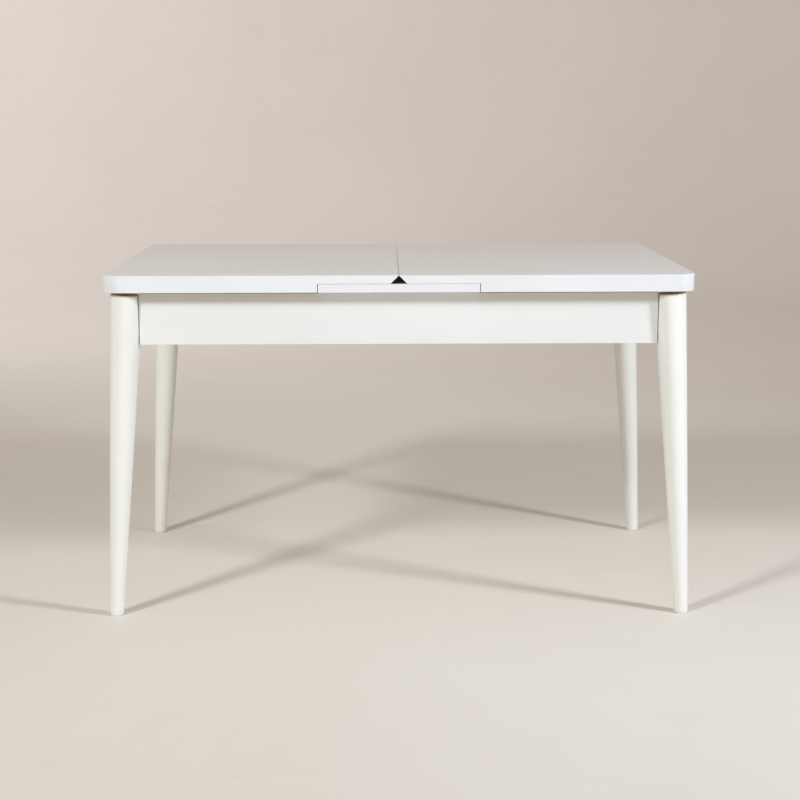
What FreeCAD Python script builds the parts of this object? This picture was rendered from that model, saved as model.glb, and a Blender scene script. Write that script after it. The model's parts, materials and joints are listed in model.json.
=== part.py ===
# Extendable dining table: two halves of the top slide apart on ball slides and a leaf rises between them.
# Frame: millimetres, +Z up, +X along the table, -Y to the front, origin on the floor under the centre.
import FreeCAD, Part
import math
import os
import Sketcher

from FreeCAD import Placement, Rotation, Vector

SIZES = {
    "table_length": 1250,        # closed; opened it is longer by the leaf's length
    "table_width": 800,
    "table_height": 750,
    "board_thick": 18,           # every board, doubled to 36 around the edge of the top
    "corner_radius": 38,
    "band_thick": 2,             # edge band
    "band_round": 1.5,
    "seam_gap": 0.8,             # between the two halves when closed
    "seam_land": 0.8,            # upright strip left above the 45 degree bevel
    "build_up_wide": 50,
    "leaf_length": 340,          # along X
    "leaf_side_gap": 1.5,
    "leaf_top_gap": 0.5,
    "frame_top": 709,
    "apron_bottom": 600,
    "apron_inset": 36,
    "long_apron_half": 550,
    "end_apron_half": 323,
    "leg_top_x": 577,            # leg axis at the top, from the table's centre
    "leg_axis_y": 352,
    "leg_splay": 3.5,            # degrees, outwards along X
    "leg_long": 708,
    "leg_top_radius": 34,
    "leg_foot_radius": 14.5,
    "leg_belly": 0.9,            # how far the turned outline swells past a straight taper
    "leg_rim": 3,
    "leg_flat_x": 551.5,         # upright flats beside the apron ends, from the table's centre
    "leg_flat_y": 326,
    "leg_flat_low": 594,
    "corner_sum": 892.3,         # |x| + |y| on the 45 degree flat between leg and corner block
    "block_thick": 35,
    "block_low": 602,
    "block_high": 54,
    "fixing_low": 616,           # two levels of screws and bolts in each corner block
    "fixing_high": 642,
    "block_screw_x": 520,
    "block_screw_y": 295,
    "block_screw_sunk": 15,      # head below the block's face, measured from the apron's back
    "bolt_line": 230,            # |x| - |y| along the hanger bolts
    "bolt_radius": 4,
    "bolt_long": 72,
    "bolt_in_leg": 25,
    "bolt_bevel": 0.8,
    "washer_radius": 9,
    "washer_thick": 1.6,
    "nut_across": 13,
    "nut_high": 6.5,
    "glide_radius": 13,
    "glide_thick": 3,
    "glide_bevel": 0.8,
    "glide_pin_radius": 1.5,
    "glide_pin_long": 12,
    "slide_centre_z": 682.5,
    "slide_high": 45,
    "slide_deep": 12.7,
    "slide_sheet": 1.2,
    "ball_radius": 1.6,
    "ball_play": 0.05,
    "outer_start": 20,           # slide members, from the table's centre
    "outer_end": 545,
    "inner_start": 24,
    "inner_long": 348,
    "cage_start": 112,
    "cage_long": 256,
    "cage_sheet": 0.8,
    "ball_pitch": 48,
    "slide_arm_gap": 3,          # from an arm's tip to the other member's web
    "cage_web_gap": 0.5,
    "runner_low": 662,
    "runner_step": 706,          # the runner's top where it passes under the leaf
    "bearer_x": 110,
    "bearer_wide": 40,
    "bearer_low": 628,
    "bearer_high": 22,
    "bearer_housing": 8,
    "guide_y": 200,
    "guide_radius": 5,
    "guide_play": 0.05,
    "bush_radius": 8,
    "flange_radius": 12,
    "flange_thick": 2,
    "guide_low": 612,
    "guide_in_batten": 10,
    "spring_radius": 7,
    "spring_wire": 0.8,
    "spring_turns": 7,
    "batten_half": 300,
    "screw_shank": 2,            # radius
    "screw_tip": 2,
    "slide_screw_head": 3.5,
    "slide_screw_head_high": 1.6,
    "slide_screw_long": 14.8,
    "wood_screw_head": 4,
    "wood_screw_head_high": 3,
    "block_screw_long": 25,
    "batten_screw_long": 28,
    "dowel_radius": 4,
    "dowel_in_runner": 15,
    "dowel_in_board": 10,
}

# Places of fasteners along a piece, from the table's centre.
FRAME_SCREW_X = (60, 520)
SLIDE_SCREW_X = (60, 200, 340)
DOWEL_X = (210, 340)
BATTEN_SCREW_Y = (-270, -100, 100, 270)

doc = FreeCAD.newDocument("extendable_table")
dims = doc.addObject("Spreadsheet::Sheet", "dims")
for row, (alias, number) in enumerate(SIZES.items(), start=1):
    dims.set("A%d" % row, alias)
    dims.set("B%d" % row, str(number))
    dims.setAlias("B%d" % row, alias)
doc.recompute()

# Levels and places that several pieces share, as formulas on the sheet.
TOP = "dims.table_height"
BOARD_LOW = "(dims.table_height - dims.board_thick)"
BUILD_LOW = "(dims.table_height - 2 * dims.board_thick)"
LEAF_LOW = "(dims.table_height - 2 * dims.board_thick - dims.leaf_top_gap)"
HALF_X = "(dims.table_length / 2)"
HALF_Y = "(dims.table_width / 2)"
CORE_X = "(dims.table_length / 2 - dims.band_thick)"
CORE_Y = "(dims.table_width / 2 - dims.band_thick)"
SEAM_X = "(dims.seam_gap / 2)"
LEAF_X = "(dims.leaf_length / 2)"
LEAF_BAY_X = "(dims.leaf_length / 2 + dims.leaf_side_gap)"
FACE_X = "(dims.table_length / 2 - dims.apron_inset)"
FACE_Y = "(dims.table_width / 2 - dims.apron_inset)"
BACK_X = "(dims.table_length / 2 - dims.apron_inset - dims.board_thick)"
BACK_Y = "(dims.table_width / 2 - dims.apron_inset - dims.board_thick)"
RUNNER_FACE_Y = "(dims.table_width / 2 - dims.apron_inset - dims.board_thick - dims.slide_deep)"
FOOT_X = "(dims.leg_top_x + dims.leg_long * sin(dims.leg_splay * 1 deg))"
BATTEN_LOW = "(dims.table_height - 3 * dims.board_thick - dims.leaf_top_gap)"
BEARER_TOP = "(dims.bearer_low + dims.bearer_high)"
BUSH_TOP = "(dims.bearer_low + dims.bearer_high + dims.flange_thick)"

# Ball slides: half heights from the slide's centre, and places across the table.
BALL_Z = "(dims.slide_high / 2 - dims.slide_sheet - dims.ball_play - dims.ball_radius)"
INNER_HALF = "(dims.slide_high / 2 - dims.slide_sheet - 2 * dims.ball_play - 2 * dims.ball_radius)"
ARM_TIP_Y = "(%s + dims.slide_arm_gap)" % RUNNER_FACE_Y
CAGE_WEB_Y = "(%s - dims.slide_sheet - dims.cage_web_gap)" % BACK_Y
BALL_Y = "(%s + dims.slide_deep / 2)" % RUNNER_FACE_Y

LEFT, RIGHT = -1, 1
FRONT, REAR = -1, 1
SIDE_NAME = {LEFT: "left", RIGHT: "right"}
DEPTH_NAME = {FRONT: "front", REAR: "rear"}
CORNERS = [(sx, sy) for sy in (FRONT, REAR) for sx in (LEFT, RIGHT)]

nodes = []


def value(formula):
    """Number that a formula on the sheet gives."""
    return float(dims.evalExpression(formula))


def signed(sign, formula):
    return "%d * %s" % (sign, formula)


def keep(obj, label):
    """Name an object as one of the part's nodes."""
    obj.Label = label
    nodes.append(obj)
    return obj


# Sketch helpers

def new_sketch(body, plane, name):
    sketch = body.newObject("Sketcher::SketchObject", name)
    role = plane + "_Plane"
    origin_plane = next(item for item in body.Origin.OriginFeatures if item.Role == role)
    sketch.AttachmentSupport = [(origin_plane, "")]
    sketch.MapMode = "FlatFace"
    return sketch


def bind(sketch, kind, first, formula):
    index = sketch.addConstraint(Sketcher.Constraint(kind, *first, value(formula)))
    sketch.setExpression("Constraints[%d]" % index, formula)


def place_point(sketch, geo, point, x, y):
    """Tie one point of the sketch to the origin by two formulas."""
    if x == "0":
        sketch.addConstraint(Sketcher.Constraint("PointOnObject", geo, point, -2))
    else:
        bind(sketch, "DistanceX", (-1, 1, geo, point), x)
    if y == "0":
        sketch.addConstraint(Sketcher.Constraint("PointOnObject", geo, point, -1))
    else:
        bind(sketch, "DistanceY", (-1, 1, geo, point), y)


def polygon(sketch, corners):
    """Closed outline through corners given as pairs of formulas."""
    points = [Vector(value(x), value(y), 0) for x, y in corners]
    count = len(points)
    first = sketch.GeometryCount
    for i in range(count):
        sketch.addGeometry(Part.LineSegment(points[i], points[(i + 1) % count]))
    for i in range(count):
        follower = first + (i + 1) % count
        sketch.addConstraint(Sketcher.Constraint("Coincident", first + i, 2, follower, 1))
    for i, (x, y) in enumerate(corners):
        place_point(sketch, first + i, 1, x, y)


def rectangle(sketch, x0, y0, x1, y1):
    polygon(sketch, [(x0, y0), (x1, y0), (x1, y1), (x0, y1)])


def circle(sketch, x, y, radius):
    centre = Vector(value(x), value(y), 0)
    index = sketch.addGeometry(Part.Circle(centre, Vector(0, 0, 1), value(radius)))
    bind(sketch, "Radius", (index,), radius)
    place_point(sketch, index, 3, x, y)


# Solid helpers: outlines are drawn in part coordinates, so a body moves only along its sketch normal.

NORMAL = {"XY": "z", "XZ": "y", "YZ": "x"}


def pad(name, plane, start, length, draw):
    """Body padded from start towards plus along the plane's axis."""
    body = doc.addObject("PartDesign::Body", name)
    body.setExpression("Placement.Base." + NORMAL[plane], start)
    sketch = new_sketch(body, plane, name + "_outline")
    draw(sketch)
    feature = body.newObject("PartDesign::Pad", name + "_pad")
    feature.Profile = sketch
    feature.setExpression("Length", length)
    feature.Reversed = plane == "XZ"
    sketch.Visibility = False
    doc.recompute()
    return body


def pad_polygon(name, plane, start, length, corners):
    return pad(name, plane, start, length, lambda sketch: polygon(sketch, corners))


def pad_box(name, x, y, z):
    """Board between two formulas on each axis."""
    corners = [(x[0], y[0]), (x[1], y[0]), (x[1], y[1]), (x[0], y[1])]
    return pad_polygon(name, "XY", z[0], "%s - %s" % (z[1], z[0]), corners)


def pocket(body, start, draw, depth):
    """Cut upwards along Z, from start above the body's own base."""
    sketch = new_sketch(body, "XY", body.Name + "_cut")
    sketch.setExpression("AttachmentOffset.Base.z", start)
    draw(sketch)
    feature = body.newObject("PartDesign::Pocket", body.Name + "_pocket")
    feature.Profile = sketch
    feature.Reversed = True
    feature.setExpression("Length", depth)
    sketch.Visibility = False
    doc.recompute()


def upright_edges(shape, x, y):
    """Names of the edges that stand upright at plan position x, y."""
    found = []
    for i, edge in enumerate(shape.Edges, start=1):
        box = edge.BoundBox
        middle = box.Center
        if box.ZLength > 1 and abs(middle.x - x) < 0.01 and abs(middle.y - y) < 0.01:
            if box.XLength < 0.01 and box.YLength < 0.01:
                found.append("Edge%d" % i)
    return found


def round_corners(body, x, y, radius):
    """Round the two upright edges at plus and minus y."""
    tip = body.Tip
    names = upright_edges(tip.Shape, value(x), value(y)) + upright_edges(tip.Shape, value(x), -value(y))
    feature = body.newObject("PartDesign::Fillet", body.Name + "_corners")
    feature.Base = (tip, names)
    feature.setExpression("Radius", radius)
    doc.recompute()


def dress_edges(body, kind, chosen, formula):
    """Fillet or chamfer every edge of the tip that the chosen test accepts."""
    tip = body.Tip
    names = ["Edge%d" % i for i, edge in enumerate(tip.Shape.Edges, start=1) if chosen(edge)]
    feature = body.newObject("PartDesign::" + kind, body.Name + "_" + kind.lower())
    feature.Base = (tip, names)
    feature.setExpression("Radius" if kind == "Fillet" else "Size", formula)
    doc.recompute()


def copies(name, shape, placements):
    """Group of separate equal solids, for fasteners and other identical hardware."""
    group = doc.addObject("Part::Feature", name)
    group.Shape = Part.makeCompound([shape.transformed(place.toMatrix()) for place in placements])
    return group


def drilled(name, base, tools):
    """Base with an exact hole for each piece of hardware in it."""
    tool = doc.addObject("Part::Compound", name + "_holes")
    tool.Links = tools
    cut = doc.addObject("Part::Cut", name + "_drilled")
    cut.Base = base
    cut.Tool = tool
    doc.recompute()
    return cut


def revolved(name, draw):
    """Body turned about Z from a half outline of radius and height."""
    body = doc.addObject("PartDesign::Body", name)
    sketch = new_sketch(body, "XZ", name + "_outline")
    draw(sketch)
    feature = body.newObject("PartDesign::Revolution", name + "_turning")
    feature.Profile = sketch
    feature.ReferenceAxis = (sketch, ["V_Axis"])
    feature.Angle = 360
    sketch.Visibility = False
    doc.recompute()
    return body


def turned(name, corners):
    """Body turned about Z from corners given as (radius, height) formulas."""
    return revolved(name, lambda sketch: polygon(sketch, corners))


def facing(direction):
    """Rotation that lays a fastener's +Z along a direction."""
    return Rotation(Vector(0, 0, 1), Vector(*direction))


# Sliding halves of the top

def on_outline(edge, level):
    """True for a level edge that lies on the outer outline of the table top."""
    box = edge.BoundBox
    if box.ZLength > 0.01 or abs(box.Center.z - level) > 0.01:
        return False
    point = edge.valueAt((edge.FirstParameter + edge.LastParameter) / 2)
    radius = value("dims.corner_radius")
    past_x = abs(point.x) - value(HALF_X) + radius
    past_y = abs(point.y) - value(HALF_Y) + radius
    if past_x > 0 and past_y > 0:
        return abs(math.hypot(past_x, past_y) - radius) < 0.01
    return abs(past_x - radius) < 0.01 or abs(past_y - radius) < 0.01


def bevel_edge(side, level):
    """Test for the lower edges at the seam, where the 45 degree bevel is cut."""
    seam = value(signed(side, SEAM_X))

    def test(edge):
        box = edge.BoundBox
        at_seam = abs(box.Center.x - seam) < 0.01 and box.XLength < 0.01
        return at_seam and box.ZLength < 0.01 and abs(box.Center.z - level) < 0.01
    return test


def make_tabletop(side):
    name = SIDE_NAME[side] + "_tabletop"
    x = (signed(side, SEAM_X), signed(side, CORE_X))
    body = pad_box(name + "_board", x, (signed(-1, CORE_Y), CORE_Y), (BOARD_LOW, TOP))
    round_corners(body, x[1], CORE_Y, "dims.corner_radius - dims.band_thick")
    dress_edges(body, "Chamfer", bevel_edge(side, 0), "dims.board_thick - dims.seam_land")
    keep(drilled(name, body, [fasteners[SIDE_NAME[side] + "_runner_dowels"]]), name)


def make_edge_band(side):
    name = SIDE_NAME[side] + "_edge_band"
    high = value("dims.board_thick")
    x = (signed(side, SEAM_X), signed(side, HALF_X))
    body = pad_box(name + "_strip", x, (signed(-1, HALF_Y), HALF_Y), (BUILD_LOW, TOP))
    past_seam = signed(-side, SEAM_X)
    core = (past_seam, signed(-1, CORE_Y), signed(side, CORE_X), CORE_Y)
    pocket(body, "0", lambda sketch: rectangle(sketch, *core), "2 * dims.board_thick")
    round_corners(body, signed(side, CORE_X), CORE_Y, "dims.corner_radius - dims.band_thick")
    round_corners(body, x[1], HALF_Y, "dims.corner_radius")
    bay = (past_seam, "-dims.table_width", signed(side, LEAF_BAY_X), "dims.table_width")
    pocket(body, "0", lambda sketch: rectangle(sketch, *bay), "dims.board_thick")
    dress_edges(body, "Chamfer", bevel_edge(side, high), "dims.board_thick - dims.seam_land")
    dress_edges(body, "Fillet", lambda edge: on_outline(edge, 2 * high), "dims.band_round")
    keep(body, name)


def make_build_up(side):
    """Strips under the board that double its edge, leaving a bay for the leaf."""
    name = SIDE_NAME[side]
    z = (BUILD_LOW, BOARD_LOW)
    end_x = "(dims.table_length / 2 - dims.band_thick - dims.build_up_wide)"
    inner_y = "(dims.table_width / 2 - dims.band_thick - dims.build_up_wide)"
    end_span = (signed(side, end_x), signed(side, CORE_X))
    end = pad_box(name + "_end_strip", end_span, (signed(-1, CORE_Y), CORE_Y), z)
    round_corners(end, end_span[1], CORE_Y, "dims.corner_radius - dims.band_thick")
    keep(end, name + "_end_build_up")
    for depth in (FRONT, REAR):
        label = "%s_%s_build_up" % (name, DEPTH_NAME[depth])
        x = (signed(side, LEAF_BAY_X), signed(side, end_x))
        y = (signed(depth, inner_y), signed(depth, CORE_Y))
        keep(pad_box(label + "_strip", x, y, z), label)


def make_runner(side, depth):
    """Upright rail under a half, stepped down where it passes under the leaf."""
    label = "%s_%s_runner" % (SIDE_NAME[side], DEPTH_NAME[depth])
    near = signed(side, "dims.inner_start")
    far = signed(side, "(dims.inner_start + dims.inner_long)")
    bay = signed(side, LEAF_BAY_X)
    outline = [(near, "dims.runner_low"), (far, "dims.runner_low"), (far, BOARD_LOW), (bay, BOARD_LOW),
               (bay, "dims.runner_step"), (near, "dims.runner_step")]
    start = signed(-1, RUNNER_FACE_Y) if depth == FRONT else "%s - dims.board_thick" % RUNNER_FACE_Y
    body = pad_polygon(label + "_rail", "XZ", start, "dims.board_thick", outline)
    side_name = SIDE_NAME[side]
    hardware = [fasteners[side_name + "_runner_dowels"], fasteners[side_name + "_slide_screws"]]
    keep(drilled(label, body, hardware), label)


# Ball slides

def channel(depth, web, inside, tip, outer_half, inner_half):
    """Corners (y, z) of a C section: web outside and inside faces, arm tips, and half heights."""
    def corner(y, sign, half):
        return (signed(depth, y), "dims.slide_centre_z %s %s" % (sign, half))
    return [corner(web, "-", outer_half), corner(tip, "-", outer_half), corner(tip, "-", inner_half),
            corner(inside, "-", inner_half), corner(inside, "+", inner_half), corner(tip, "+", inner_half),
            corner(tip, "+", outer_half), corner(web, "+", outer_half)]


def span_start(side, start, long):
    """Lowest x of a member that lies from start to start + long on its side."""
    return start if side == RIGHT else "-1 * (%s + %s)" % (start, long)


def make_slide(side, depth):
    name = "%s_%s_slide" % (SIDE_NAME[side], DEPTH_NAME[depth])
    sheet = "dims.slide_sheet"
    outer_half = "dims.slide_high / 2"
    outer = channel(depth, BACK_Y, "(%s - %s)" % (BACK_Y, sheet), "(%s + %s)" % (RUNNER_FACE_Y, sheet),
                    outer_half, "(dims.slide_high / 2 - %s)" % sheet)
    outer_long = "(dims.outer_end - dims.outer_start)"
    start = span_start(side, "dims.outer_start", outer_long)
    body = pad_polygon(name + "_outer_strip", "YZ", start, outer_long, outer)
    keep(drilled(name + "_outer", body, [fasteners["slide_frame_screws"]]), name + "_outer")

    arm_tip = "(%s - dims.slide_arm_gap)" % BACK_Y
    inner = channel(depth, RUNNER_FACE_Y, "(%s + %s)" % (RUNNER_FACE_Y, sheet), arm_tip,
                    INNER_HALF, "(%s - %s)" % (INNER_HALF, sheet))
    start = span_start(side, "dims.inner_start", "dims.inner_long")
    body = pad_polygon(name + "_inner_strip", "YZ", start, "dims.inner_long", inner)
    screws = fasteners[SIDE_NAME[side] + "_slide_screws"]
    keep(drilled(name + "_inner", body, [screws]), name + "_inner")


def make_ball_cage(side, depth):
    """Balls between the two members, and the cage that holds them apart."""
    slide = "%s_%s" % (SIDE_NAME[side], DEPTH_NAME[depth])
    label = slide + "_ball_cage"
    outline = channel(depth, CAGE_WEB_Y, "(%s - dims.cage_sheet)" % CAGE_WEB_Y, ARM_TIP_Y,
                      "(%s + dims.cage_sheet / 2)" % BALL_Z, "(%s - dims.cage_sheet / 2)" % BALL_Z)
    start = span_start(side, "dims.cage_start", "dims.cage_long")
    body = pad_polygon(label + "_strip", "YZ", start, "dims.cage_long", outline)
    pitch = value("dims.ball_pitch")
    count = int(value("dims.cage_long") // pitch) + 1
    first = side * (value("dims.cage_start + dims.cage_long / 2") - pitch * (count - 1) / 2)
    places = []
    for i in range(count):
        for sign in (-1, 1):
            height = value("dims.slide_centre_z") + sign * value(BALL_Z)
            centre = Vector(first + side * pitch * i, depth * value(BALL_Y), height)
            places.append(Placement(centre, Rotation()))
    balls = copies(slide + "_slide_balls", Part.makeSphere(value("dims.ball_radius")), places)
    keep(balls, balls.Name)
    keep(drilled(label, body, [balls]), label)


# Fixed frame

def bearer_span(side):
    middle = "dims.bearer_x"
    half = "dims.bearer_wide / 2"
    return signed(side, "(%s - %s)" % (middle, half)), signed(side, "(%s + %s)" % (middle, half))


def make_long_apron(depth):
    """Front or rear apron, housed for the ends of the two bearers."""
    label = DEPTH_NAME[depth] + "_apron"
    x = ("-dims.long_apron_half", "dims.long_apron_half")
    y = (signed(depth, BACK_Y), signed(depth, FACE_Y))
    body = pad_box(label + "_board", x, y, ("dims.apron_bottom", "dims.frame_top"))
    housing_y = signed(depth, "(%s + dims.bearer_housing)" % BACK_Y)

    def housings(sketch):
        for side in (LEFT, RIGHT):
            x0, x1 = bearer_span(side)
            rectangle(sketch, x0, y[0], x1, housing_y)

    pocket(body, "dims.bearer_low - dims.apron_bottom", housings, "dims.bearer_high")
    keep(drilled(label, body, [fasteners["slide_frame_screws"], fasteners["block_screws"]]), label)


def make_end_apron(side):
    label = SIDE_NAME[side] + "_apron"
    x = (signed(side, BACK_X), signed(side, FACE_X))
    y = ("-dims.end_apron_half", "dims.end_apron_half")
    body = pad_box(label + "_board", x, y, ("dims.apron_bottom", "dims.frame_top"))
    keep(drilled(label, body, [fasteners["block_screws"]]), label)


def leg_profile(sketch):
    """Half outline of the turned leg: a swelling taper with a rounded rim at the top."""
    foot, top, low, rim = "dims.leg_foot_radius", "dims.leg_top_radius", "-dims.leg_rim", "dims.leg_rim"
    high = "dims.leg_long"
    corners = [("0", low), (foot, low), (top, "%s - %s" % (high, rim)), ("%s - %s" % (top, rim), high),
               ("0", high)]
    points = [Vector(value(x), value(y), 0) for x, y in corners]
    chord = points[2] - points[1]
    swell = Vector(chord.y, -chord.x, 0).normalize() * value("dims.leg_belly")
    rim_middle = Vector(points[3].x, points[2].y, 0) + Vector(1, 1, 0).normalize() * value(rim)
    sketch.addGeometry(Part.LineSegment(points[0], points[1]))
    sketch.addGeometry(Part.Arc(points[1], points[1] + chord * 0.5 + swell, points[2]))
    sketch.addGeometry(Part.Arc(points[2], rim_middle, points[3]))
    sketch.addGeometry(Part.LineSegment(points[3], points[4]))
    sketch.addGeometry(Part.LineSegment(points[4], points[0]))
    for first, second in ((0, 1), (1, 2), (2, 3), (3, 4), (4, 0)):
        sketch.addConstraint(Sketcher.Constraint("Coincident", first, 2, second, 1))
    for geo, corner in zip((0, 1, 2, 3, 4), corners):
        place_point(sketch, geo, 1, *corner)
    half_chord = "((dims.leg_top_radius - dims.leg_foot_radius)^2 + dims.leg_long^2) / 4"
    bind(sketch, "Radius", (1,), "(%s + dims.leg_belly^2) / (2 * dims.leg_belly)" % half_chord)
    bind(sketch, "Radius", (2,), rim)


def make_leg(side, depth):
    """Turned leg, leaning outwards, with flats for the aprons and the corner block."""
    label = "%s_%s_leg" % (DEPTH_NAME[depth], SIDE_NAME[side])
    body = revolved(label + "_turned", leg_profile)
    body.Placement = Placement(Vector(), Rotation(Vector(0, -side, 0), value("dims.leg_splay")))
    body.setExpression("Placement.Base.x", signed(side, FOOT_X))
    body.setExpression("Placement.Base.y", signed(depth, "dims.leg_axis_y"))
    body.setExpression("Placement.Rotation.Angle", "dims.leg_splay * 1 deg")

    flat_x, flat_y = signed(side, "dims.leg_flat_x"), signed(depth, "dims.leg_flat_y")
    in_x = signed(side, "(dims.leg_flat_x - 2 * dims.leg_top_radius)")
    in_y = signed(depth, "(dims.leg_flat_y - 2 * dims.leg_top_radius)")
    out_x, out_y = signed(side, HALF_X), signed(depth, HALF_Y)
    notch = [(flat_x, flat_y), (flat_x, out_y), (in_x, out_y), (in_x, in_y), (out_x, in_y), (out_x, flat_y)]
    flats = doc.addObject("Part::Cut", label + "_flats")
    flats.Base = body
    flats.Tool = pad_polygon(label + "_notch", "XY", "dims.leg_flat_low",
                             "(dims.table_height - dims.leg_flat_low)", notch)

    # All of the leg above its glide and outside the 45 degree face of the corner block.
    wide, deep = "dims.table_length", "dims.table_width"
    near = "dims.corner_sum"
    room = [("(%s - %s)" % (near, deep), deep), (wide, deep), (wide, "0"), (near, "0")]
    room = [(signed(side, x), y if y == "0" else signed(depth, y)) for x, y in room]
    outside = pad_polygon(label + "_room", "XY", "dims.glide_thick", "dims.table_height", room)
    trimmed = doc.addObject("Part::Common", label + "_trimmed")
    trimmed.Base = flats
    trimmed.Tool = outside
    keep(drilled(label, trimmed, [fasteners["hanger_bolts"], fasteners["leg_glides"]]), label)


def make_corner_block(side, depth):
    label = "%s_%s_corner_block" % (DEPTH_NAME[depth], SIDE_NAME[side])
    near = "dims.corner_sum"
    far = "(dims.corner_sum - dims.block_thick * sqrt(2))"
    outline = [("(%s - %s)" % (near, BACK_Y), BACK_Y), (BACK_X, "(%s - %s)" % (near, BACK_X)),
               (BACK_X, "(%s - %s)" % (far, BACK_X)), ("(%s - %s)" % (far, BACK_Y), BACK_Y)]
    outline = [(signed(side, x), signed(depth, y)) for x, y in outline]
    body = pad_polygon(label + "_block", "XY", "dims.block_low", "dims.block_high", outline)
    keep(drilled(label, body, [fasteners["hanger_bolts"], fasteners["block_screws"], screw_mouths]), label)


def make_bearer(side):
    """Cross member under the leaf, bored for its two guide bushes."""
    label = SIDE_NAME[side] + "_leaf_bearer"
    end = "(%s + dims.bearer_housing)" % BACK_Y
    z = ("dims.bearer_low", BEARER_TOP)
    body = pad_box(label + "_board", bearer_span(side), (signed(-1, end), end), z)

    def bores(sketch):
        for depth in (FRONT, REAR):
            circle(sketch, signed(side, "dims.bearer_x"), signed(depth, "dims.guide_y"), "dims.bush_radius")

    pocket(body, "0", bores, "dims.bearer_high")
    keep(body, label)


# Leaf and its lift

def make_leaf():
    panel_x = "(dims.leaf_length / 2 - dims.band_thick)"
    leaf_top = "(%s + dims.board_thick)" % LEAF_LOW
    z = (LEAF_LOW, leaf_top)
    panel = pad_box("leaf_board", (signed(-1, panel_x), panel_x), (signed(-1, CORE_Y), CORE_Y), z)
    keep(drilled("leaf_panel", panel, [fasteners["leaf_batten_screws"]]), "leaf_panel")

    band = pad_box("leaf_strip", (signed(-1, LEAF_X), LEAF_X), (signed(-1, HALF_Y), HALF_Y), z)
    core = (signed(-1, panel_x), signed(-1, CORE_Y), panel_x, CORE_Y)
    pocket(band, "0", lambda sketch: rectangle(sketch, *core), "dims.board_thick")
    level = value("dims.board_thick")
    limit_x, limit_y = value(LEAF_X), value(HALF_Y)

    def top_outside(edge):
        centre = edge.BoundBox.Center
        outside = abs(abs(centre.x) - limit_x) < 0.01 or abs(abs(centre.y) - limit_y) < 0.01
        return outside and abs(centre.z - level) < 0.01

    dress_edges(band, "Fillet", top_outside, "dims.band_round")
    keep(band, "leaf_edge_band")

    for side in (LEFT, RIGHT):
        label = SIDE_NAME[side] + "_leaf_batten"
        y = ("-dims.batten_half", "dims.batten_half")
        body = pad_box(label + "_board", bearer_span(side), y, (BATTEN_LOW, LEAF_LOW))
        hardware = [fasteners["leaf_batten_screws"], fasteners["leaf_guide_rods"]]
        keep(drilled(label, body, hardware), label)


def make_springs():
    body = doc.addObject("PartDesign::Body", "lift_spring_coil")
    body.setExpression("Placement.Base.z", "%s + dims.spring_wire" % BUSH_TOP)
    sketch = new_sketch(body, "XZ", "lift_spring_wire")
    circle(sketch, "dims.spring_radius", "0", "dims.spring_wire")
    coil = body.newObject("PartDesign::AdditiveHelix", "lift_spring_helix")
    coil.Profile = sketch
    coil.ReferenceAxis = (sketch, ["V_Axis"])
    coil.Mode = 2
    coil.setExpression("Height", "%s - %s - 2 * dims.spring_wire" % (BATTEN_LOW, BUSH_TOP))
    coil.setExpression("Turns", "dims.spring_turns")
    sketch.Visibility = False
    doc.recompute()
    keep(copies("lift_springs", body.Shape, guide_places()), "lift_springs")


def guide_places():
    """Plan positions of the four guide rods."""
    x, y = value("dims.bearer_x"), value("dims.guide_y")
    return [Placement(Vector(sx * x, sy * y, 0), Rotation()) for sx, sy in CORNERS]


def make_guides():
    bore = "(dims.guide_radius + dims.guide_play)"
    bush = turned("guide_bush", [(bore, "dims.bearer_low"), ("dims.bush_radius", "dims.bearer_low"),
                                 ("dims.bush_radius", BEARER_TOP), ("dims.flange_radius", BEARER_TOP),
                                 ("dims.flange_radius", BUSH_TOP), (bore, BUSH_TOP)])
    keep(copies("guide_bushes", bush.Shape, guide_places()), "guide_bushes")
    rod_top = "(%s + dims.guide_in_batten)" % BATTEN_LOW
    rod = turned("guide_rod", [("0", "dims.guide_low"), ("dims.guide_radius - 1", "dims.guide_low"),
                               ("dims.guide_radius", "dims.guide_low + 1"), ("dims.guide_radius", rod_top),
                               ("0", rod_top)])
    rods = copies("leaf_guide_rods", rod.Shape, guide_places())
    fasteners["leaf_guide_rods"] = keep(rods, "leaf_guide_rods")


# Fasteners and other small hardware

fasteners = {}


def screw_master(name, head_radius, head_high, long):
    """Screw pointing up, the top of its head at the origin."""
    shank = "dims.screw_shank"
    return turned(name, [("0", "0"), (head_radius, "0"), (head_radius, head_high), (shank, head_high),
                         (shank, "(%s - dims.screw_tip)" % long), ("0", long)])


def screws_from(name, master, starts):
    """Equal screws, each given by the top of its head and its direction."""
    places = [Placement(Vector(*start), facing(way)) for start, way in starts]
    fasteners[name] = keep(copies(name, master.Shape, places), name)


def make_slide_screws():
    """Screws through the slides' webs, into the aprons and into the runners."""
    master = screw_master("slide_screw", "dims.slide_screw_head", "dims.slide_screw_head_high",
                          "dims.slide_screw_long")
    level = value("dims.slide_centre_z")
    head = value("dims.slide_sheet + dims.slide_screw_head_high")
    frame_web, runner_web = value(BACK_Y) - head, value(RUNNER_FACE_Y) + head
    frame_starts = []
    for sx, sy in CORNERS:
        for x in FRAME_SCREW_X:
            frame_starts.append(((sx * x, sy * frame_web, level), (0, sy, 0)))
    screws_from("slide_frame_screws", master, frame_starts)
    for side in (LEFT, RIGHT):
        starts = []
        for sy in (FRONT, REAR):
            for x in SLIDE_SCREW_X:
                starts.append(((side * x, sy * runner_web, level), (0, -sy, 0)))
        screws_from(SIDE_NAME[side] + "_slide_screws", master, starts)


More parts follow.
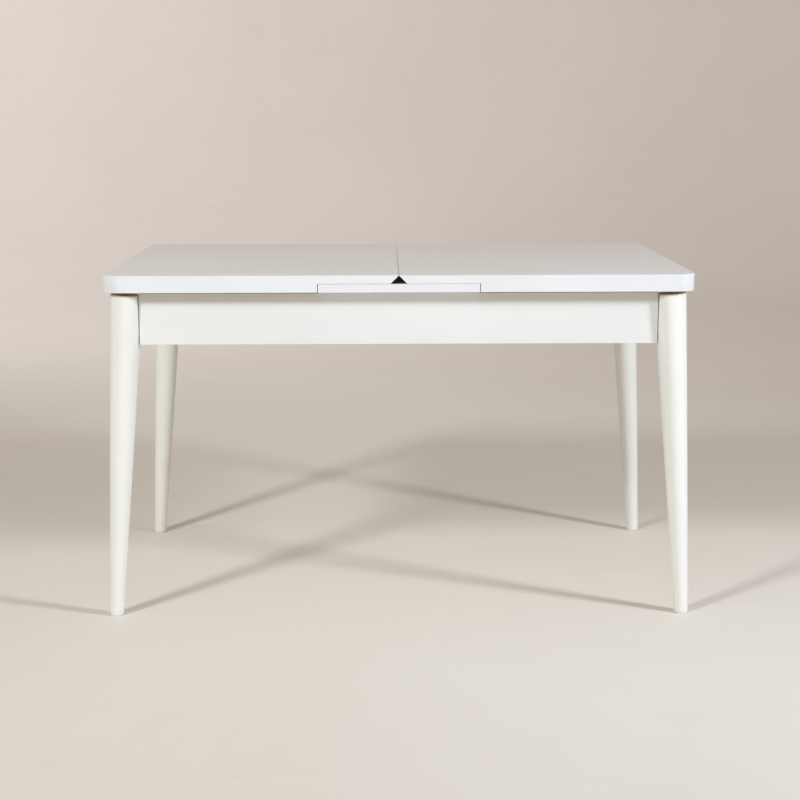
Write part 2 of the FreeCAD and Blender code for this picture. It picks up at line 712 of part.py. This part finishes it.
def make_runner_dowels():
    """Dowels that hold each runner up against its board."""
    radius, low, high = "dims.dowel_radius", "-dims.dowel_in_runner", "dims.dowel_in_board"
    dowel = turned("runner_dowel", [("0", low), (radius, low), (radius, high), ("0", high)])
    middle = value(RUNNER_FACE_Y) - value("dims.board_thick") / 2
    for side in (LEFT, RIGHT):
        places = []
        for sy in (FRONT, REAR):
            for x in DOWEL_X:
                places.append(Placement(Vector(side * x, sy * middle, value(BOARD_LOW)), Rotation()))
        name = SIDE_NAME[side] + "_runner_dowels"
        fasteners[name] = keep(copies(name, dowel.Shape, places), name)


def fixing_levels():
    return value("dims.fixing_low"), value("dims.fixing_high")


def make_block_screws():
    """Two screws from each corner block into each of the aprons it joins."""
    master = screw_master("block_screw", "dims.wood_screw_head", "dims.wood_screw_head_high",
                          "dims.block_screw_long")
    sunk = value("dims.block_screw_sunk")
    along_x, along_y = value("dims.block_screw_x"), value("dims.block_screw_y")
    starts = []
    for sx, sy in CORNERS:
        for z in fixing_levels():
            starts.append(((sx * along_x, sy * (value(BACK_Y) - sunk), z), (0, sy, 0)))
            starts.append(((sx * (value(BACK_X) - sunk), sy * along_y, z), (sx, 0, 0)))
    screws_from("block_screws", master, starts)
    depth = value("dims.block_thick")
    mouth = Part.makeCylinder(value("dims.wood_screw_head"), depth, Vector(0, 0, -depth))
    places = [Placement(Vector(*start), facing(way)) for start, way in starts]
    return copies("screw_mouths", mouth, places)


def ring(sketch, radius):
    circle(sketch, "0", "0", radius)
    circle(sketch, "0", "0", "dims.bolt_radius")


def hexagon(sketch):
    """Nut outline around its bore, turned so that no corner lies on an axis."""
    corners = []
    for i in range(6):
        turn = "(%d * 60 + 15) * 1 deg" % i
        corners.append(tuple("dims.nut_across / sqrt(3) * %s(%s)" % (axis, turn) for axis in ("cos", "sin")))
    polygon(sketch, corners)
    circle(sketch, "0", "0", "dims.bolt_radius")


def make_hanger_bolts():
    """Bolts from the legs through the corner blocks, with washers and nuts."""
    radius, long, bevel = "dims.bolt_radius", "dims.bolt_long", "dims.bolt_bevel"
    tip = "(%s - %s)" % (radius, bevel)
    shoulder = "(%s - %s)" % (long, bevel)
    bolt = turned("hanger_bolt", [("0", "0"), (tip, "0"), (radius, bevel), (radius, shoulder), (tip, long),
                                  ("0", long)])
    washer = pad("hanger_washer", "XY", "0 mm", "dims.washer_thick",
                 lambda sketch: ring(sketch, "dims.washer_radius"))
    nut = pad("hanger_nut", "XY", "0 mm", "dims.nut_high", hexagon)
    block, thick = value("dims.block_thick"), value("dims.washer_thick")
    pieces = (("hanger_bolts", bolt, -value("dims.bolt_in_leg")), ("hanger_washers", washer, block),
              ("hanger_nuts", nut, block + thick))
    total, line = value("dims.corner_sum"), value("dims.bolt_line")
    for name, master, start in pieces:
        places = []
        for sx, sy in CORNERS:
            inward = Vector(-sx, -sy, 0).normalize()
            flat = Vector(sx * (total + line) / 2, sy * (total - line) / 2, 0)
            for z in fixing_levels():
                places.append(Placement(flat + inward * start + Vector(0, 0, z), facing(inward)))
        fasteners[name] = keep(copies(name, master.Shape, places), name)


def make_leg_glides():
    radius, bevel, pin = "dims.glide_radius", "dims.glide_bevel", "dims.glide_pin_radius"
    pin_top = "(dims.glide_thick + dims.glide_pin_long)"
    glide = turned("leg_glide", [("0", "0"), ("(%s - %s)" % (radius, bevel), "0"), (radius, bevel),
                                 (radius, "dims.glide_thick"), (pin, "dims.glide_thick"), (pin, pin_top),
                                 ("0", pin_top)])
    x, y = value(FOOT_X), value("dims.leg_axis_y")
    places = [Placement(Vector(sx * x, sy * y, 0), Rotation()) for sx, sy in CORNERS]
    fasteners["leg_glides"] = keep(copies("leg_glides", glide.Shape, places), "leg_glides")


def make_leaf_screws():
    master = screw_master("leaf_batten_screw", "dims.wood_screw_head", "dims.wood_screw_head_high",
                          "dims.batten_screw_long")
    starts = []
    for side in (LEFT, RIGHT):
        for y in BATTEN_SCREW_Y:
            starts.append(((side * value("dims.bearer_x"), y, value(BATTEN_LOW)), (0, 0, 1)))
    screws_from("leaf_batten_screws", master, starts)


# Assembly

make_slide_screws()
make_runner_dowels()
screw_mouths = make_block_screws()
make_hanger_bolts()
make_leg_glides()
make_guides()
make_leaf_screws()

for depth in (FRONT, REAR):
    make_long_apron(depth)
for side in (LEFT, RIGHT):
    make_end_apron(side)
    make_bearer(side)
    make_tabletop(side)
    make_edge_band(side)
    make_build_up(side)
    for depth in (FRONT, REAR):
        make_leg(side, depth)
        make_corner_block(side, depth)
        make_slide(side, depth)
        make_ball_cage(side, depth)
        make_runner(side, depth)
make_leaf()
make_springs()
doc.recompute()

for obj in doc.Objects:
    if "Invalid" in obj.State or "Error" in obj.State:
        raise RuntimeError("%s does not recompute: %s" % (obj.Label, obj.State))

os.makedirs("parts", exist_ok=True)
for node in nodes:
    if node.Shape.isNull() or not node.Shape.isValid():
        raise RuntimeError("%s has no valid shape" % node.Label)
    node.Shape.exportStep("parts/%s.step" % node.Label)
print("%d nodes written" % len(nodes))
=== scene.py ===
"""Looks for the extendable dining table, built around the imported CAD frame.

Metres, +Z up, +X along the table, -Y to the front.
"""
import math
import json

import bmesh
import bpy
from mathutils import Matrix, Vector


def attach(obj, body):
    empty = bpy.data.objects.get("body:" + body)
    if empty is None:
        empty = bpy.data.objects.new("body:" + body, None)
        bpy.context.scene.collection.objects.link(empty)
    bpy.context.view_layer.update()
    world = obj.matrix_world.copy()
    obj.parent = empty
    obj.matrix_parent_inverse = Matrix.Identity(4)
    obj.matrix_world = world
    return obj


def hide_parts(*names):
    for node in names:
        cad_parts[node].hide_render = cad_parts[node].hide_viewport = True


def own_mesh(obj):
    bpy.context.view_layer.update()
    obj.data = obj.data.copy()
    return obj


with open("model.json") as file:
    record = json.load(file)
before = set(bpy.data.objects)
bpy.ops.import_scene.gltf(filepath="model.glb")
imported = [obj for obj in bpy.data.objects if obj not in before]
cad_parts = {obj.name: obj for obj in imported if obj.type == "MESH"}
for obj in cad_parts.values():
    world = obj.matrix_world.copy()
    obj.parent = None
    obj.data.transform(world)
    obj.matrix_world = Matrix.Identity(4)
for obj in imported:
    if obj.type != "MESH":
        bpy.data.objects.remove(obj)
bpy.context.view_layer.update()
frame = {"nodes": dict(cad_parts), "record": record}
NODES = frame["nodes"]


# Camera: the photograph's viewing angle, facing the front edge and looking down on it. Angles in radians.

SENSOR_MM = 36
LENS_MM = 72.6
CAMERA_AT = Vector((-0.0325, -3.7614, 1.0935))
CAMERA_YAW = -0.01015
CAMERA_PITCH = 0.1790
CAMERA_ROLL = -0.00205


def make_camera():
    data = bpy.data.cameras.new("camera")
    data.sensor_width = SENSOR_MM
    data.lens = LENS_MM
    camera = bpy.data.objects.new("camera", data)
    bpy.context.scene.collection.objects.link(camera)
    level = math.cos(CAMERA_PITCH)
    ahead = Vector((-math.sin(CAMERA_YAW) * level, math.cos(CAMERA_YAW) * level, -math.sin(CAMERA_PITCH)))
    right = Vector((math.cos(CAMERA_YAW), math.sin(CAMERA_YAW), 0))
    up = right.cross(ahead)
    turned_right = right * math.cos(CAMERA_ROLL) + up * math.sin(CAMERA_ROLL)
    turned_up = up * math.cos(CAMERA_ROLL) - right * math.sin(CAMERA_ROLL)
    turn = Matrix((turned_right, turned_up, -ahead)).transposed()
    camera.matrix_world = Matrix.Translation(CAMERA_AT) @ turn.to_4x4()
    bpy.context.scene.camera = camera


# Node helpers

def linear(r, g, b):
    """Linear colour from 0 to 255 display values."""
    def one(c):
        c = c / 255
        return c / 12.92 if c <= 0.04045 else ((c + 0.055) / 1.055) ** 2.4
    return one(r), one(g), one(b), 1.0


class Shader:
    """Small builder for one material's node tree."""

    def __init__(self, name):
        self.material = bpy.data.materials.new(name)
        self.material.use_nodes = True
        self.tree = self.material.node_tree
        self.bsdf = self.tree.nodes["Principled BSDF"]
        self.place = self.node("ShaderNodeTexCoord").outputs["Object"]

    def node(self, kind, **settings):
        made = self.tree.nodes.new(kind)
        for key, item in settings.items():
            setattr(made, key, item)
        return made

    def link(self, source, target):
        self.tree.links.new(source, target)

    def scaled(self, scale):
        """Object coordinates stretched by scale on each axis, so a pattern follows the piece."""
        mapping = self.node("ShaderNodeMapping")
        mapping.inputs["Scale"].default_value = scale
        self.link(self.place, mapping.inputs["Vector"])
        return mapping.outputs["Vector"]

    def noise(self, scale, detail=3.0, rough=0.55):
        """Cloudy pattern from 0 to 1, with scale repeats a metre on each axis."""
        made = self.node("ShaderNodeTexNoise")
        self.link(self.scaled(scale), made.inputs["Vector"])
        made.inputs["Scale"].default_value = 1.0
        made.inputs["Detail"].default_value = detail
        made.inputs["Roughness"].default_value = rough
        return made.outputs["Fac"]

    def cells(self, scale, output="Distance"):
        """Cell pattern: the distance to the nearest cell's centre, or a random colour for each cell."""
        made = self.node("ShaderNodeTexVoronoi")
        self.link(self.scaled(scale), made.inputs["Vector"])
        made.inputs["Scale"].default_value = 1.0
        return made.outputs[output]

    def ramp(self, source, stops):
        """Colour ramp through (position, colour) stops; a plain number is a grey."""
        made = self.node("ShaderNodeValToRGB")
        self.link(source, made.inputs["Fac"])
        band = made.color_ramp
        while len(band.elements) < len(stops):
            band.elements.new(0.5)
        for element, (position, colour) in zip(band.elements, stops):
            element.position = position
            if not isinstance(colour, tuple):
                colour = (colour, colour, colour, 1.0)
            element.color = colour
        return made.outputs["Color"]

    def spread(self, source, low, high, from_low=0.0, from_high=1.0):
        """Stretch source, between from_low and from_high, to between low and high."""
        made = self.node("ShaderNodeMapRange")
        self.link(source, made.inputs["Value"])
        made.inputs["From Min"].default_value = from_low
        made.inputs["From Max"].default_value = from_high
        made.inputs["To Min"].default_value = low
        made.inputs["To Max"].default_value = high
        return made.outputs["Result"]

    def math(self, operation, first, second=0.0):
        made = self.node("ShaderNodeMath", operation=operation)
        for socket, item in zip(made.inputs, (first, second)):
            if isinstance(item, (int, float)):
                socket.default_value = item
            else:
                self.link(item, socket)
        return made.outputs["Value"]

    def mix(self, factor, first, second, blend="MIX"):
        made = self.node("ShaderNodeMix", data_type="RGBA", blend_type=blend)
        sockets = (made.inputs[0], made.inputs[6], made.inputs[7])
        for socket, item in zip(sockets, (factor, first, second)):
            if isinstance(item, (int, float, tuple)):
                socket.default_value = item
            else:
                self.link(item, socket)
        return made.outputs[2]

    def edge(self, radius):
        """Near 1 on outside edges and 0 on flats; used to paint highlights along arrises."""
        soft = self.node("ShaderNodeBevel", samples=4)
        soft.inputs["Radius"].default_value = radius
        flat = self.node("ShaderNodeNewGeometry").outputs["True Normal"]
        dot = self.node("ShaderNodeVectorMath", operation="DOT_PRODUCT")
        self.link(soft.outputs["Normal"], dot.inputs[0])
        self.link(flat, dot.inputs[1])
        return self.spread(dot.outputs["Value"], 1.0, 0.0, 0.80, 0.995)

    def facing(self, axis):
        """How far the surface faces along one axis of the piece, from -1 to 1."""
        normal = self.node("ShaderNodeTexCoord").outputs["Normal"]
        parts = self.node("ShaderNodeSeparateXYZ")
        self.link(normal, parts.inputs["Vector"])
        return parts.outputs[axis]

    def colour(self, source):
        self.link(source, self.bsdf.inputs["Base Color"])

    def roughness(self, source):
        self.link(source, self.bsdf.inputs["Roughness"])

    def bump(self, *layers):
        """Stack bumps given as (height source, distance in metres, strength)."""
        previous = None
        for height, distance, strength in layers:
            made = self.node("ShaderNodeBump")
            made.inputs["Distance"].default_value = distance
            made.inputs["Strength"].default_value = strength
            self.link(height, made.inputs["Height"])
            if previous is not None:
                self.link(previous, made.inputs["Normal"])
            previous = made.outputs["Normal"]
        self.link(previous, self.bsdf.inputs["Normal"])

    def plain(self, **values):
        """Values that are the same all over, set on the shader's own sockets."""
        for key, item in values.items():
            self.bsdf.inputs[key.replace("_", " ")].default_value = item


# Board and paint materials

CUT_BELOW = 0.9          # a board's surface that faces Z less than this is a cut edge, coloured dark brown as painted shade
UNDERSIDE_BELOW = -0.5   # a band's surface that faces Z less than this is its underside, coloured darker as painted shade


def laminate():
    """Satin off-white melamine with a faint pressed grain along X; its cut edges are chipboard coloured far
    darker than bare board, as painted shade.
    """
    s = Shader("laminate")
    streaks = s.noise((2.2, 170, 170), detail=4, rough=0.6)
    clouds = s.noise((2.5, 2.5, 2.5), detail=2)
    face = s.ramp(streaks, [(0.30, linear(235, 232, 228)), (0.70, linear(241, 239, 235))])
    face = s.mix(s.spread(clouds, 0.0, 0.35, 0.35, 0.75), face, linear(234, 230, 224))
    chips = s.cells((420, 420, 420), output="Color")
    grit = s.noise((900, 900, 900), detail=2)
    # Cut faces: chipboard brown darkened to a near-black brown, painted shade in the notch between the
    # boards.
    cut_board_and_shade = s.mix(0.5, linear(70, 50, 36), chips, "MULTIPLY")
    cut_board_and_shade = s.mix(s.spread(grit, 0.0, 1.0, 0.45, 0.6), cut_board_and_shade, linear(96, 72, 52))
    upright = s.math("ABSOLUTE", s.facing("Z"))
    cut = s.math("LESS_THAN", upright, CUT_BELOW)
    s.colour(s.mix(cut, face, cut_board_and_shade))
    dull = s.spread(s.noise((14, 40, 14), detail=5), 0.46, 0.58, 0.3, 0.7)
    s.roughness(s.math("ADD", dull, s.math("MULTIPLY", cut, 0.4)))
    pores = s.noise((700, 1400, 700), detail=2)
    s.bump((streaks, 0.00005, 0.35), (pores, 0.00003, 0.25))
    s.plain(Specular_IOR_Level=0.45)
    return s.material


def edge_band():
    """Cool white plastic band: fine drawn lines along it, faint waves from pressing, a painted highlight
    along its edges and painted shade on its lower face.
    """
    s = Shader("edge_band")
    drawn = s.noise((3, 3, 900), detail=3)
    waves = s.noise((9, 9, 6), detail=2)
    body = s.ramp(waves, [(0.3, linear(221, 224, 228)), (0.7, linear(225, 228, 232))])
    edge_highlight = s.edge(0.0012)
    # The band's downward faces are darkened: painted shade.
    underside_shade = s.math("LESS_THAN", s.facing("Z"), UNDERSIDE_BELOW)
    # Edges lightened toward white: painted highlight.
    body = s.mix(s.math("MULTIPLY", edge_highlight, 0.6), body, linear(243, 243, 243))
    s.colour(s.mix(s.math("MULTIPLY", underside_shade, 0.5), body, linear(201, 197, 190)))
    s.roughness(s.spread(s.noise((25, 25, 60), detail=4), 0.26, 0.38, 0.3, 0.7))
    s.bump((waves, 0.0004, 0.25), (drawn, 0.00002, 0.3))
    s.plain(Specular_IOR_Level=0.5)
    return s.material


def white_board():
    """White faced board: roller stipple, a bright rim painted along its edges as highlight and a slightly
    warm tone.
    """
    s = Shader("white_board")
    stipple = s.noise((650, 650, 650), detail=2)
    tone = s.noise((3, 3, 5), detail=2)
    grain = s.noise((5, 5, 260), detail=3)
    body = s.ramp(tone, [(0.3, linear(221, 223, 223)), (0.7, linear(226, 227, 227))])
    body = s.mix(s.spread(grain, 0.0, 0.12, 0.4, 0.7), body, linear(209, 209, 207))
    # Edges lightened: painted highlight.
    s.colour(s.mix(s.math("MULTIPLY", s.edge(0.0015), 0.7), body, linear(243, 242, 238)))
    s.roughness(s.spread(s.noise((18, 18, 35), detail=4), 0.38, 0.50, 0.3, 0.7))
    s.bump((stipple, 0.00004, 0.3), (grain, 0.00003, 0.25))
    s.plain(Specular_IOR_Level=0.45)
    return s.material


def lacquered_wood():
    """Ivory lacquer over turned wood: grain showing through along the leg, brush rings, painted highlights
    on the arrises.
    """
    s = Shader("lacquered_wood")
    fibres = s.noise((160, 160, 5), detail=5, rough=0.6)
    rings = s.noise((4, 4, 700), detail=2)
    clouds = s.noise((9, 9, 4), detail=3)
    body = s.ramp(clouds, [(0.3, linear(231, 232, 227)), (0.7, linear(236, 237, 234))])
    body = s.mix(s.spread(fibres, 0.0, 0.30, 0.52, 0.75), body, linear(226, 223, 212))
    knocks = s.cells((55, 55, 30))
    knock = s.spread(knocks, 0.10, 0.0, 0.02, 0.09)
    body = s.mix(knock, body, linear(206, 198, 180))
    # Arrises lightened: painted highlight.
    s.colour(s.mix(s.math("MULTIPLY", s.edge(0.0012), 0.6), body, linear(250, 248, 240)))
    s.roughness(s.spread(s.noise((40, 40, 12), detail=4), 0.26, 0.40, 0.3, 0.7))
    s.bump((fibres, 0.00012, 0.35), (rings, 0.00003, 0.25), (clouds, 0.0006, 0.15))
    s.plain(Specular_IOR_Level=0.5, Coat_Weight=0.15, Coat_Roughness=0.2)
    return s.material


def core_board():
    """Raw particle board: pressed chips of mixed tone and size."""
    s = Shader("core_board")
    chips = s.cells((330, 330, 330), output="Color")
    flakes = s.cells((120, 120, 240), output="Distance")
    base = s.ramp(flakes, [(0.1, linear(164, 132, 96)), (0.6, linear(202, 172, 134))])
    base = s.mix(0.22, base, chips, "MULTIPLY")
    dust = s.noise((1200, 1200, 1200), detail=2)
    s.colour(s.mix(s.spread(dust, 0.0, 0.35, 0.5, 0.7), base, linear(116, 88, 62)))
    s.roughness(s.spread(dust, 0.75, 0.92))
    s.bump((flakes, 0.0004, 0.5), (dust, 0.0002, 0.4))
    return s.material


def raw_wood():
    """Plain softwood: growth rings cut lengthways along Y, pores and darker late wood."""
    s = Shader("raw_wood")
    rings = s.node("ShaderNodeTexWave", wave_type="RINGS", rings_direction="Y")
    s.link(s.scaled((1.0, 0.06, 1.0)), rings.inputs["Vector"])
    rings.inputs["Scale"].default_value = 62
    rings.inputs["Distortion"].default_value = 5
    rings.inputs["Detail"].default_value = 3
    rings.inputs["Detail Scale"].default_value = 1.2
    late = rings.outputs["Fac"]
    fibres = s.noise((420, 14, 420), detail=4)
    base = s.ramp(late, [(0.25, linear(226, 196, 150)), (0.85, linear(196, 154, 104))])
    s.colour(s.mix(s.spread(fibres, 0.0, 0.4, 0.5, 0.75), base, linear(164, 122, 78)))
    s.roughness(s.spread(fibres, 0.55, 0.75))
    s.bump((late, 0.0002, 0.3), (fibres, 0.0002, 0.4))
    return s.material


def zinc_steel():
    """Bright zinc: rolled lines, blotchy passivation and small dull spots."""
    s = Shader("zinc_steel")
    rolled = s.noise((6, 900, 900), detail=3)
    blotch = s.noise((60, 60, 60), detail=4)
    tone = s.ramp(blotch, [(0.3, linear(186, 190, 196)), (0.55, linear(204, 204, 200)),
                           (0.75, linear(210, 203, 184))])
    spots = s.spread(s.cells((260, 260, 260)), 0.3, 0.0, 0.02, 0.12)
    s.colour(s.mix(spots, tone, linear(150, 148, 142)))
    s.roughness(s.spread(s.noise((90, 90, 90), detail=3), 0.22, 0.42, 0.3, 0.7))
    s.bump((rolled, 0.00003, 0.4), (blotch, 0.00005, 0.2))
    s.plain(Metallic=1.0)
    return s.material


def spring_steel():
    """Oiled spring wire: dark, with drawn lines and rusty brown patches."""
    s = Shader("spring_steel")
    drawn = s.noise((500, 500, 500), detail=3)
    patch = s.noise((45, 45, 90), detail=4)
    s.colour(s.ramp(patch, [(0.35, linear(88, 88, 92)), (0.62, linear(112, 110, 110)),
                            (0.8, linear(104, 78, 58))]))
    s.roughness(s.spread(patch, 0.24, 0.5, 0.3, 0.75))
    s.bump((drawn, 0.00003, 0.4))
    s.plain(Metallic=1.0)
    return s.material


def white_plastic():
    """Moulded white plastic: spark-eroded texture, scuffed where it rubs."""
    s = Shader("white_plastic")
    texture = s.noise((1500, 1500, 1500), detail=3)
    scuffs = s.noise((70, 220, 70), detail=4)
    s.colour(s.mix(s.spread(scuffs, 0.0, 0.5, 0.5, 0.8), linear(232, 231, 226), linear(196, 190, 178)))
    s.roughness(s.spread(scuffs, 0.4, 0.62, 0.3, 0.7))
    s.bump((texture, 0.00005, 0.4))
    return s.material


MAKERS = {
    "laminate": laminate, "band": edge_band, "white_board": white_board, "lacquered_wood": lacquered_wood,
    "core_board": core_board, "raw_wood": raw_wood, "zinc_steel": zinc_steel,
    "spring_steel": spring_steel, "white_plastic": white_plastic,
}

WELD_REACH = 0.00001
ARRIS_STEPS = 2
ARRIS_FROM_DEGREES = 35   # sharper edges than this are rounded

# Small rounding of sharp arrises, in metres, by material slot.
ARRIS = {"laminate": 0.0002, "band": 0.0006, "white_board": 0.0006, "lacquered_wood": 0.0008,
         "core_board": 0.0004, "raw_wood": 0.0010, "zinc_steel": 0.0003}


def join_seams(piece):
    """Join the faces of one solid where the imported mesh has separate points."""
    weld = piece.modifiers.new("weld", "WELD")
    weld.merge_threshold = WELD_REACH


def dress_nodes():
    """Give every CAD node its slot's material, and round its sharp arrises."""
    finishes = {slot: make() for slot, make in MAKERS.items()}
    for row in frame["record"]["subparts"]:
        piece, slot = NODES[row["node"]], row["material_slot"]
        piece.data.materials.clear()
        piece.data.materials.append(finishes[slot])
        join_seams(piece)
        if slot in ARRIS:
            arris = piece.modifiers.new("arris", "BEVEL")
            arris.width = ARRIS[slot]
            arris.segments = ARRIS_STEPS
            arris.limit_method = "ANGLE"
            arris.angle_limit = math.radians(ARRIS_FROM_DEGREES)
            arris.use_clamp_overlap = True
            arris.harden_normals = True


def make_spring_coils():
    """The springs shorten as the leaf is pushed down; a copy of their mesh, attached to the frame, stands
    for their node, which is hidden.
    """
    node = NODES["lift_springs"]
    coils = bpy.data.objects.new("spring_coils", node.data.copy())
    bpy.context.scene.collection.objects.link(coils)
    join_seams(coils)
    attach(coils, "frame")
    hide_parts("lift_springs")
    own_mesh(coils)


# Stage: a pale floor that curves up into a round backdrop

FLOOR_RADIUS = 5.6
COVE_RADIUS = 2.4
WALL_TOP = 4.2
ROUND_STEPS = 96
COVE_STEPS = 20


def stage_paint():
    """Pale painted floor and wall: soft clouds, faint scuffs and a few specks."""
    s = Shader("stage_paint")
    clouds = s.noise((0.7, 0.7, 0.7), detail=4)
    scuffs = s.noise((3.0, 9.0, 3.0), detail=6, rough=0.65)
    specks = s.spread(s.cells((7, 7, 7)), 0.5, 0.0, 0.008, 0.02)
    base = s.ramp(clouds, [(0.3, linear(237, 232, 222)), (0.7, linear(241, 237, 229))])
    base = s.mix(s.spread(scuffs, 0.0, 0.25, 0.55, 0.8), base, linear(227, 221, 210))
    s.colour(s.mix(specks, base, linear(200, 190, 176)))
    s.roughness(s.spread(scuffs, 0.55, 0.7))
    s.bump((scuffs, 0.0006, 0.12))
    s.plain(Specular_IOR_Level=0.3)
    return s.material


def make_backdrop():
    """Turn the outline of floor, cove and wall once around the table."""
    outline = [(0.0, 0.0), (FLOOR_RADIUS / 2, 0.0), (FLOOR_RADIUS, 0.0)]
    for i in range(1, COVE_STEPS + 1):
        angle = math.pi / 2 * i / COVE_STEPS
        outline.append((FLOOR_RADIUS + COVE_RADIUS * math.sin(angle), COVE_RADIUS * (1 - math.cos(angle))))
    outline.append((FLOOR_RADIUS + COVE_RADIUS, WALL_TOP))
    mesh = bmesh.new()
    rows = []
    for radius, height in outline:
        row = []
        for k in range(ROUND_STEPS if radius else 1):
            turn = 2 * math.pi * k / ROUND_STEPS
            row.append(mesh.verts.new((radius * math.cos(turn), radius * math.sin(turn), height)))
        rows.append(row)
    for inner, outer in zip(rows, rows[1:]):
        for k in range(ROUND_STEPS):
            after = (k + 1) % ROUND_STEPS
            corners = [inner[k % len(inner)], outer[k], outer[after]]
            if len(inner) > 1:
                corners.append(inner[after])
            mesh.faces.new(corners).smooth = True
    data = bpy.data.meshes.new("backdrop")
    mesh.to_mesh(data)
    mesh.free()
    backdrop = bpy.data.objects.new("backdrop", data)
    bpy.context.scene.collection.objects.link(backdrop)
    data.materials.append(stage_paint())


# Lights: a soft box from each front corner, a wash on the back wall, a weak front fill and the room's light.
# Each row is name, place, the point it faces, size, power in watts, colour and spread in degrees.

LIGHTS = (
    ("right_key", (3.4, -2.0, 2.05), (-0.6, -0.2, 0.2), (0.5, 0.7), 40.1, (0.821, 0.895, 1.0), 110),
    ("left_key", (-3.1, -3.9, 3.25), (0.2, 1.2, 0.2), (0.65, 0.9), 36.9, (0.960, 0.996, 1.0), 90),
    ("wall_wash", (-2.8, 3.0, 3.9), (-0.5, 8.0, 2.2), (2.0, 1.0), 115.5, (0.932, 0.921, 1.0), 180),
    ("front_fill", (0.0, -6.2, 1.0), (0.0, 0.0, 0.5), (3.0, 1.6), 36, (1.0, 1.0, 1.0), 180),
)
ROOM_COLOUR = (1.0, 0.860, 0.766, 1.0)
ROOM_STRENGTH = 0.320


def soft_box(name, place, aim, size, power, colour, spread):
    data = bpy.data.lights.new(name, "AREA")
    data.shape = "RECTANGLE"
    data.size, data.size_y = size
    data.energy = power
    data.color = colour
    data.spread = math.radians(spread)
    lamp = bpy.data.objects.new(name, data)
    bpy.context.scene.collection.objects.link(lamp)
    lamp.location = place
    lamp.rotation_euler = (Vector(aim) - Vector(place)).to_track_quat("-Z", "Y").to_euler()
    lamp.visible_camera = False


def make_lights():
    for row in LIGHTS:
        soft_box(*row)
    world = bpy.data.worlds.new("studio")
    world.use_nodes = True
    background = world.node_tree.nodes["Background"]
    background.inputs["Color"].default_value = ROOM_COLOUR
    background.inputs["Strength"].default_value = ROOM_STRENGTH
    bpy.context.scene.world = world
    bpy.context.scene.view_settings.view_transform = "Standard"
    bpy.context.scene.view_settings.look = "None"


# The table and its studio

make_camera()
dress_nodes()
make_spring_coils()
make_backdrop()
make_lights()
